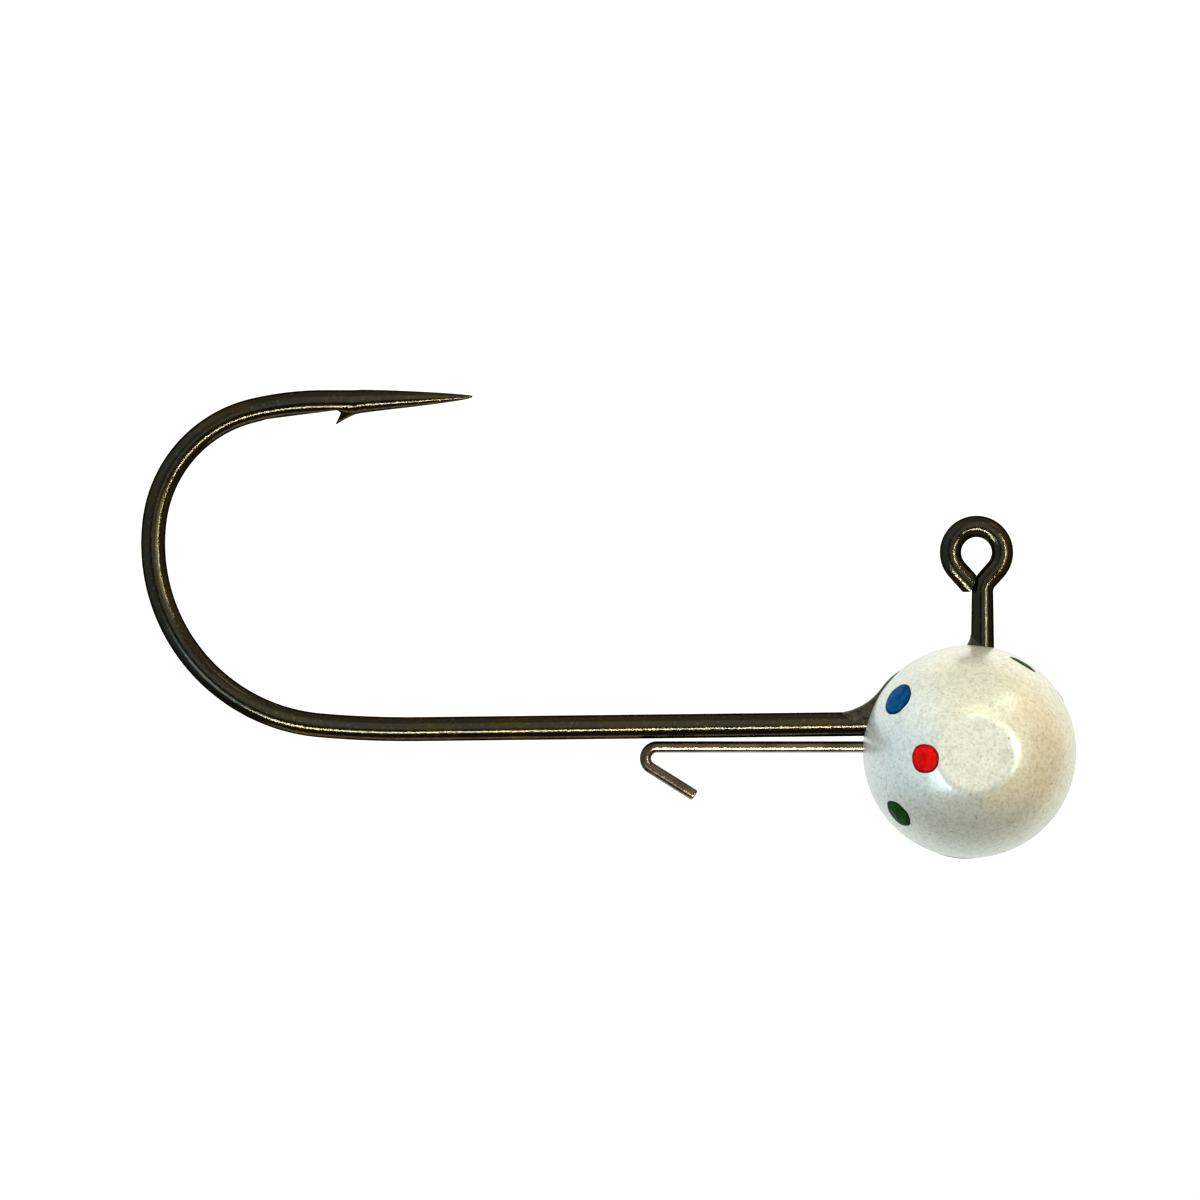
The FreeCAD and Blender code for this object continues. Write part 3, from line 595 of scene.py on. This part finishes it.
    def raise_barb(self, mesh, leg_x, surface):
        """Adds the barb: a sliver lifted from the wire, its crest raked back."""
        lean = math.tan(math.radians(self.BARB_RAKE))
        root_x = leg_x / MM - self.BARB_SETBACK
        crest_x = root_x - (self.NICK_DEPTH + self.BARB_HEIGHT) * lean
        front_x = (crest_x + self.BARB_CREST
                   + (self.NICK_DEPTH + self.BARB_HEIGHT) / math.tan(math.radians(self.BARB_SLOPE)))
        top, crest = surface / MM + self.NICK_DEPTH, surface / MM - self.BARB_HEIGHT
        work = bmesh.new()
        work.from_mesh(mesh)
        rings = []
        count = 8
        for index in range(count + 1):
            part = index / count
            hollow = 0.06 * math.sin(math.pi * part)
            rear = root_x + (crest_x - root_x) * part + 0.35 * hollow
            front = front_x + (crest_x + self.BARB_CREST - front_x) * part - 1.6 * hollow
            half = (self.BARB_WIDTH + (self.BARB_CREST_WIDTH - self.BARB_WIDTH) * part) / 2
            z = top + (crest - top) * part
            ring = []
            for x, y in ((rear, -0.8), (rear + 0.04, -1.0), (front - 0.15, -0.55), (front, -0.15),
                         (front, 0.15), (front - 0.15, 0.55), (rear + 0.04, 1.0), (rear, 0.8)):
                ring.append(work.verts.new(Vector((max(x, rear), y * half, z)) * MM))
            rings.append(ring)
        for low, high in zip(rings, rings[1:]):
            for i in range(len(low)):
                j = (i + 1) % len(low)
                work.faces.new((low[i], low[j], high[j], high[i]))
        work.faces.new(rings[0])
        work.faces.new(list(reversed(rings[-1])))
        work.to_mesh(mesh)
        work.free()


class JIG_OT_keeper(bpy.types.Operator):
    """Build the bait keeper wire under the shank"""
    bl_idname = "jig.keeper"
    bl_label = "Build bait keeper"

    BEND_RADIUS = 0.57
    LEG_ANGLE = 32.0
    LEG = 2.6
    RUN = 14.38

    def execute(self, context):
        wire = context.scene.jig_wire
        radius = wire.keeper_wire / 2
        start = (KEEPER_HIGH.x, KEEPER_HIGH.z - radius)
        points, _ = walk(start, 180, [
            ("line", self.RUN * MM),
            ("arc", self.BEND_RADIUS * MM, 180 - self.LEG_ANGLE),
            ("line", self.LEG * MM)], piece=0.12 * MM)
        radii = [radius] * len(points)
        # the nipped end is pushed in a little round its rim
        end = Vector(points[-1])
        back = (Vector(points[-2]) - end).normalized()
        points[-1:] = [tuple(end + back * 0.10 * MM), tuple(end + back * 0.03 * MM), tuple(end)]
        radii[-1:] = [radius, radius * 0.95, radius * 0.80]
        material = keeper_steel(wire.keeper_colour)
        keeper = sweep("keeper_spring_wire", points, radii, wire.wire_sides - 16, material)
        outward(keeper, 50)
        finish_piece(keeper, material, "keeper_steel", "keeper_wire")
        return {"FINISHED"}


class JIG_OT_solder(bpy.types.Operator):
    """Finish the solder and the ball's metal core, which keep their designed shapes"""
    bl_idname = "jig.solder"
    bl_label = "Finish solder and core"

    def execute(self, context):
        for node, material in (("slot_solder", tin_solder()), ("head_core", sintered_tungsten())):
            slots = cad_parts[node].data.materials
            slots.clear()
            slots.append(material)
        return {"FINISHED"}


class JIG_OT_ball(bpy.types.Operator):
    """Build the painted ball with its two side flats"""
    bl_idname = "jig.ball"
    bl_label = "Build painted ball"

    # waves of the coat over one radius of the ball
    WAVES = 2.6

    def tree(self, sizes):
        """The ball's rule: each direction from the centre meets the sphere, the rounded rim of a
        flat or the flat itself, and the soft waves of the coat are laid on that."""
        tree = new_geometry_tree("painted_ball", sizes)
        given = add(tree, "NodeGroupInput").outputs

        def calc(operation, a, b=None):
            inputs = {0: a} if b is None else {0: a, 1: b}
            return add(tree, "ShaderNodeMath", inputs, operation=operation).outputs[0]

        def square(a):
            return calc("MULTIPLY", a, a)

        def root(a):
            return calc("SQRT", calc("MAXIMUM", a, 0.0))

        radius, flat, rim = given["Radius"], given["Flat offset"], given["Rim radius"]
        inner = calc("SUBTRACT", radius, rim)
        rim_y = calc("SUBTRACT", flat, rim)
        rim_x = root(calc("SUBTRACT", square(inner), square(rim_y)))
        ball = add(tree, "GeometryNodeMeshIcoSphere", {
            "Radius": 1.0, "Subdivisions": given["Detail"]}).outputs["Mesh"]
        out = add(tree, "GeometryNodeInputPosition").outputs[0]
        along = add(tree, "ShaderNodeSeparateXYZ", {0: out}).outputs
        cosine = calc("ABSOLUTE", along["Y"])
        sine = root(calc("SUBTRACT", 1.0, square(cosine)))
        # where the ray meets the flat
        on_flat = calc("DIVIDE", flat, calc("MAXIMUM", cosine, 0.05))
        # where it meets the rim's circle
        middle = calc("ADD", calc("MULTIPLY", sine, rim_x), calc("MULTIPLY", cosine, rim_y))
        power = calc("SUBTRACT", calc("ADD", square(rim_x), square(rim_y)), square(rim))
        on_rim = calc("ADD", middle, root(calc("SUBTRACT", square(middle), power)))
        flat_tangent = calc("DIVIDE", rim_x, flat)
        ball_tangent = calc("DIVIDE", rim_x, rim_y)
        tangent = calc("DIVIDE", sine, calc("MAXIMUM", cosine, 0.0001))

        def past(limit, before, after):
            test = add(tree, "FunctionNodeCompare", {0: tangent, 1: limit},
                       data_type="FLOAT", operation="GREATER_THAN").outputs[0]
            return add(tree, "GeometryNodeSwitch", {0: test, 1: before, 2: after},
                       input_type="FLOAT").outputs[0]

        reach = past(ball_tangent, past(flat_tangent, on_flat, on_rim), radius)
        waves = add(tree, "ShaderNodeTexNoise", {
            "Vector": out, "Scale": given["Waves"], "Detail": 2.0, "Roughness": 0.5}).outputs["Fac"]
        # the coat only thins from its full size, so that it stays inside the ball's true size
        wave = calc("MULTIPLY", calc("SUBTRACT", waves, 1.0), given["Wave depth"])
        place = add(tree, "ShaderNodeVectorMath", {0: out, "Scale": calc("ADD", reach, wave)},
                    operation="SCALE").outputs[0]
        moved = add(tree, "GeometryNodeSetPosition", {"Geometry": ball, "Position": place})
        centred = add(tree, "GeometryNodeTransform", {
            "Geometry": moved.outputs[0], "Translation": given["Centre"]})
        smooth = add(tree, "GeometryNodeSetShadeSmooth", {"Geometry": centred.outputs[0]})
        real = add(tree, "GeometryNodeRealizeInstances", {"Geometry": smooth.outputs[0]})
        made = add(tree, "GeometryNodeSetMaterial", {
            "Geometry": real.outputs[0], "Material": given["Material"]})
        add(tree, "NodeGroupOutput", {"Geometry": made.outputs[0]})
        return tree

    def execute(self, context):
        ball = context.scene.jig_ball
        material = pearl_enamel(ball.pearl_colour)
        sizes = [
            ("Radius", "NodeSocketFloat", ball.radius),
            ("Flat offset", "NodeSocketFloat", ball.flat_offset),
            ("Rim radius", "NodeSocketFloat", ball.rim_radius),
            ("Wave depth", "NodeSocketFloat", ball.coat_wave),
            ("Waves", "NodeSocketFloat", self.WAVES),
            ("Detail", "NodeSocketInt", ball.detail),
            ("Centre", "NodeSocketVector", BALL_CENTRE),
            ("Material", "NodeSocketMaterial", material)]
        obj = new_object("painted_ball", bpy.data.meshes.new("painted_ball"))
        run_tree(obj, self.tree(sizes), sizes)
        finish_piece(obj, material, "pearl_enamel", "base_coat")
        return {"FINISHED"}


class JIG_OT_dots(bpy.types.Operator):
    """Set the paint dots on the ball, each a low domed drop with a hand-made outline"""
    bl_idname = "jig.dots"
    bl_label = "Set paint dots"

    RINGS = 20
    SIDES = 96
    HEIGHT = 0.055
    # its rim starts just under the paint of the ball
    SINK = 0.012
    # it spreads a little past the outline of the CAD dot, unevenly
    SPREAD = 1.07
    WOBBLE = 0.07
    RIPPLE = 0.25

    def drop(self, node, surface, seed):
        """A drop that covers the CAD dot's outline and follows the paint under it."""
        corners = [v.co - BALL_CENTRE for v in node.data.vertices]
        out = sum(corners, Vector()).normalized()
        across = out.orthogonal().normalized()
        beside = out.cross(across)
        flat = [(c.dot(across), c.dot(beside)) for c in corners]
        mid = (sum(a for a, _ in flat) / len(flat), sum(b for _, b in flat) / len(flat))
        spin, long_half, short_half = self.fit(flat, mid)
        verts, faces, rims = [], [], []
        for ring in range(self.RINGS + 1):
            level = ring / self.RINGS
            for side in range(self.SIDES):
                turn = 2 * math.pi * side / self.SIDES
                about = Vector((math.cos(turn), math.sin(turn), seed))
                wobble = self.SPREAD + self.WOBBLE * noise.noise(about * 1.7)
                a = long_half * wobble * level * math.cos(turn)
                b = short_half * wobble * level * math.sin(turn)
                u = mid[0] + a * math.cos(spin) - b * math.sin(spin)
                v = mid[1] + a * math.sin(spin) + b * math.cos(spin)
                ray = (out * BALL_RADIUS + across * u + beside * v).normalized()
                hit, normal, _, _ = surface.ray_cast(BALL_CENTRE, ray)
                if hit is None:
                    raise RuntimeError(f"{node.name} misses the ball")
                dome = (1 - level ** 4) ** 0.5
                spot = Vector((u, v, 0)) / (0.28 * MM) + Vector((0, 0, seed))
                ripple = self.RIPPLE * noise.noise(spot)
                lift = self.HEIGHT * MM * dome * (1 + ripple) - self.SINK * MM
                verts.append(hit + ray * lift)
                rims.append(level)
        base = len(verts)
        for index in range(self.SIDES):
            verts.append(verts[self.RINGS * self.SIDES + index] - out * 0.05 * MM)
            rims.append(1.0)
        for level in range(self.RINGS):
            for side in range(self.SIDES):
                nxt = (side + 1) % self.SIDES
                row, after = level * self.SIDES, (level + 1) * self.SIDES
                faces.append((row + side, after + side, after + nxt, row + nxt))
        for side in range(self.SIDES):
            nxt = (side + 1) % self.SIDES
            row = self.RINGS * self.SIDES
            faces.append((row + side, base + side, base + nxt, row + nxt))
        faces.append(tuple(base + side for side in range(self.SIDES)))
        mesh = bpy.data.meshes.new(node.name + "_drop")
        mesh.from_pydata(verts, [], faces)
        mesh.attributes.new("rim", "FLOAT", "POINT").data.foreach_set("value", rims)
        return new_object(node.name + "_drop", mesh)

    def fit(self, flat, mid):
        """Turn and half sizes of the ellipse that holds the points."""
        best = None
        for degrees in range(0, 180, 3):
            angle = math.radians(degrees)
            along = [(a - mid[0]) * math.cos(angle) + (b - mid[1]) * math.sin(angle) for a, b in flat]
            over = [(b - mid[1]) * math.cos(angle) - (a - mid[0]) * math.sin(angle) for a, b in flat]
            size = ((max(along) - min(along)) / 2, (max(over) - min(over)) / 2)
            if best is None or size[0] > best[1]:
                best = (angle, *size)
        return best

    def execute(self, context):
        ball = context.scene.jig_ball
        painted = bpy.data.objects["painted_ball"]
        surface = BVHTree.FromObject(painted, context.evaluated_depsgraph_get())
        colours = {
            "blue": ball.blue_colour, "red": ball.red_colour, "green": ball.green_colour,
            "grey": (0.70, 0.71, 0.68), "violet": (0.60, 0.57, 0.66)}
        materials = {name: dot_enamel(name, colour, 0.75 if name in ("grey", "violet") else 0.22)
                     for name, colour in colours.items()}
        for seed, name in enumerate(DOT_NODES):
            colour_name = name.split("_")[1]
            drop = self.drop(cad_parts[name], surface, seed)
            outward(drop, 60)
            finish_piece(drop, materials[colour_name], f"{colour_name}_enamel", name)
        return {"FINISHED"}


class JIG_OT_stage(bpy.types.Operator):
    """Set up the backdrop, the lights and the camera"""
    bl_idname = "jig.stage"
    bl_label = "Set up the studio"

    # the sheet, in metres: flat floor, curve up into the wall, top of the wall above the floor
    FLOOR_RADIUS = 0.35
    CURVE_RADIUS = 0.25
    WALL_TOP = 0.9

    # the room: its even light, then each part of it by colour, strength, direction from the
    # object, and the cosines where it starts and is full
    BASE = ("#FFF3D3", 0.179)
    ROOM = (
        ("#FFF4DD", 0.65, (0.12, -0.1, 1), 0.05, 0.9),
        ("#EEFCFF", 0.79, (0.0, 1, 0.0), 0.05, 0.8),
        ("#BCE2FF", 0.86, (-1, -0.25, 0.15), 0.45, 0.95),
        ("#FFC458", 0.33, (1, -0.1, 0.1), 0.4, 0.95),
        ("#FEFFF6", 1.29, (0.05, -1, 0.17), 0.93, 0.99),
        ("#ECFFF0", 4.30, (0.60, -0.8, 0.03), 0.948, 0.987),
        ("#C5E8FF", 7.20, (-0.46, -0.75, -0.42), 0.972, 0.994),
        ("#FFED98", 0.17, (-0.5, -0.6, 0.6), 0.88, 0.98),
        ("#FBFFCE", 1.07, (0.1, -0.78, 0.62), 0.93, 0.99),
        ("#DEFFE8", 2.60, (0.534, -0.335, 0.776), 0.985, 0.998),
        ("#FFD65E", 0.33, (0.55, -0.62, -0.56), 0.88, 0.98),
    )

    def sweep_sheet(self, floor_z):
        """White acrylic sheet: a wide floor that curves up behind the object, round on every side."""
        work = bmesh.new()
        floor, curve, steps, sides = self.FLOOR_RADIUS, self.CURVE_RADIUS, 12, 96
        profile = [(floor - 0.01, 0.0), (floor, 0.0)]
        for step in range(1, steps + 1):
            angle = math.radians(90 * step / steps)
            profile.append((floor + curve * math.sin(angle), curve - curve * math.cos(angle)))
        profile.append((floor + curve, self.WALL_TOP))
        rings = []
        for radius, height in profile:
            ring = []
            for side in range(sides):
                turn = 2 * math.pi * side / sides
                ring.append(work.verts.new((radius * math.cos(turn) - 0.019,
                                            radius * math.sin(turn), floor_z + height)))
            rings.append(ring)
        work.faces.new(rings[0])
        for low, high in zip(rings, rings[1:]):
            for i in range(sides):
                j = (i + 1) % sides
                work.faces.new((low[i], low[j], high[j], high[i]))
        mesh = bpy.data.meshes.new("backdrop_sweep")
        work.to_mesh(mesh)
        work.free()
        mesh.shade_smooth()
        return new_object("backdrop_sweep", mesh)

    def lamp(self, name, lit, place, aim, width, height, power, colour, roll=0.0):
        """A lamp flagged off the paint: it lights only the named wires."""
        light = bpy.data.lights.new(name, "AREA")
        light.shape = "RECTANGLE"
        light.size = width
        light.size_y = height
        light.energy = power
        light.color = linear(colour)[:3]
        obj = bpy.data.objects.new(name, light)
        bpy.context.scene.collection.objects.link(obj)
        towards = (Vector(aim) - Vector(place)).to_track_quat("-Z", "Y").to_matrix().to_4x4()
        turned = Matrix.Rotation(math.radians(roll), 4, "Z")
        obj.matrix_world = Matrix.Translation(place) @ towards @ turned
        group = bpy.data.collections.new(name + "_lights")
        for wire in lit:
            if wire in bpy.data.objects:
                group.objects.link(bpy.data.objects[wire])
        obj.light_linking.receiver_collection = group

    def room(self):
        """The room's soft light, from every side and from below as well."""
        world = bpy.data.worlds.new("studio_room")
        world.use_nodes = True
        tree = world.node_tree
        tree.nodes.clear()
        place = add(tree, "ShaderNodeTexCoord").outputs["Generated"]
        total = add(tree, "ShaderNodeRGB")
        colour, strength = self.BASE
        total.outputs[0].default_value = [strength * c for c in linear(colour)]
        total = total.outputs[0]
        for colour, strength, toward, edge, core in self.ROOM:
            facing = add(tree, "ShaderNodeVectorMath", {
                0: place, 1: Vector(toward).normalized()}, operation="DOT_PRODUCT").outputs["Value"]
            part = add(tree, "ShaderNodeMapRange", {
                "Value": facing, "From Min": edge, "From Max": core}, interpolation_type="SMOOTHSTEP")
            light = add(tree, "ShaderNodeVectorMath", {
                0: [strength * c for c in linear(colour)[:3]], "Scale": part.outputs[0]},
                operation="SCALE")
            total = add(tree, "ShaderNodeVectorMath", {0: total, 1: light.outputs[0]},
                        operation="ADD").outputs[0]
        back = add(tree, "ShaderNodeBackground", {"Color": total, "Strength": 1.0})
        add(tree, "ShaderNodeOutputWorld", {"Surface": back.outputs[0]})
        return world

    def execute(self, context):
        stage = context.scene.jig_stage
        low, high = CAD_BOX
        floor_z = low[2] - stage.floor_drop
        sheet = self.sweep_sheet(floor_z)
        sheet.data.materials.append(opal_acrylic())
        # the sheet only backs the view: the room alone lights the object, from below as well
        sheet.visible_diffuse = False
        sheet.visible_glossy = False
        sheet.visible_shadow = False
        context.scene.world = self.room()
        hook, keeper = "hook_wire", "keeper_spring_wire"
        below = (-20 * MM, 0, -6 * MM)
        self.lamp("low_strip", (hook,), (-20 * MM, -50 * MM, -36 * MM), below,
                  0.08, 0.0025, 0.105, "#FFF8E4", roll=20)
        self.lamp("keeper_strip", (keeper,), (-12 * MM, -50 * MM, -44 * MM), (-12 * MM, 0, -12 * MM),
                  0.016, 0.008, 0.170, "#FFF0F0")
        self.lamp("low_fill", (hook, keeper), (-20 * MM, 30 * MM, -90 * MM), below,
                  0.10, 0.06, 0.060, "#FFEFD8")
        self.lamp("right_strip", (hook, keeper), (46 * MM, -72 * MM, 0), (-10 * MM, 0, 0),
                  0.002, 0.06, 0.062, "#FFF3DC")
        camera_data = bpy.data.cameras.new("camera")
        camera_data.sensor_width = 36.0
        camera_data.lens = 36.0 * stage.camera_distance / stage.view_width
        camera_data.clip_start = 0.01
        camera = bpy.data.objects.new("camera", camera_data)
        bpy.context.scene.collection.objects.link(camera)
        camera.location = (-18.825 * MM, -stage.camera_distance, -2.38 * MM)
        camera.rotation_euler = (math.radians(90), 0, 0)
        context.scene.camera = camera
        context.scene.view_settings.view_transform = "Standard"
        return {"FINISHED"}


class JIG_PT_build(bpy.types.Panel):
    bl_idname = "JIG_PT_build"
    bl_label = "Jig Head"
    bl_space_type = "VIEW_3D"
    bl_region_type = "UI"
    bl_category = "Jig Head"

    def draw(self, context):
        for group in (context.scene.jig_wire, context.scene.jig_ball, context.scene.jig_stage):
            box = self.layout.box()
            for word in group.bl_rna.properties.keys():
                if word not in ("rna_type", "name"):
                    box.prop(group, word)
        for operator in OPERATORS:
            self.layout.operator(operator.bl_idname)


OPERATORS = (JIG_OT_hook, JIG_OT_keeper, JIG_OT_solder, JIG_OT_ball, JIG_OT_dots, JIG_OT_stage)
CLASSES = (JigWireSettings, JigBallSettings, JigStageSettings, *OPERATORS, JIG_PT_build)


def register():
    for one in CLASSES:
        bpy.utils.register_class(one)
    bpy.types.Scene.jig_wire = PointerProperty(type=JigWireSettings)
    bpy.types.Scene.jig_ball = PointerProperty(type=JigBallSettings)
    bpy.types.Scene.jig_stage = PointerProperty(type=JigStageSettings)


def unregister():
    for word in ("jig_stage", "jig_ball", "jig_wire"):
        delattr(bpy.types.Scene, word)
    for one in reversed(CLASSES):
        bpy.utils.unregister_class(one)


def main():
    register()
    bpy.ops.jig.hook()
    bpy.ops.jig.keeper()
    bpy.ops.jig.solder()
    bpy.ops.jig.ball()
    bpy.ops.jig.dots()
    bpy.ops.jig.stage()


if __name__ == "__main__":
    main()
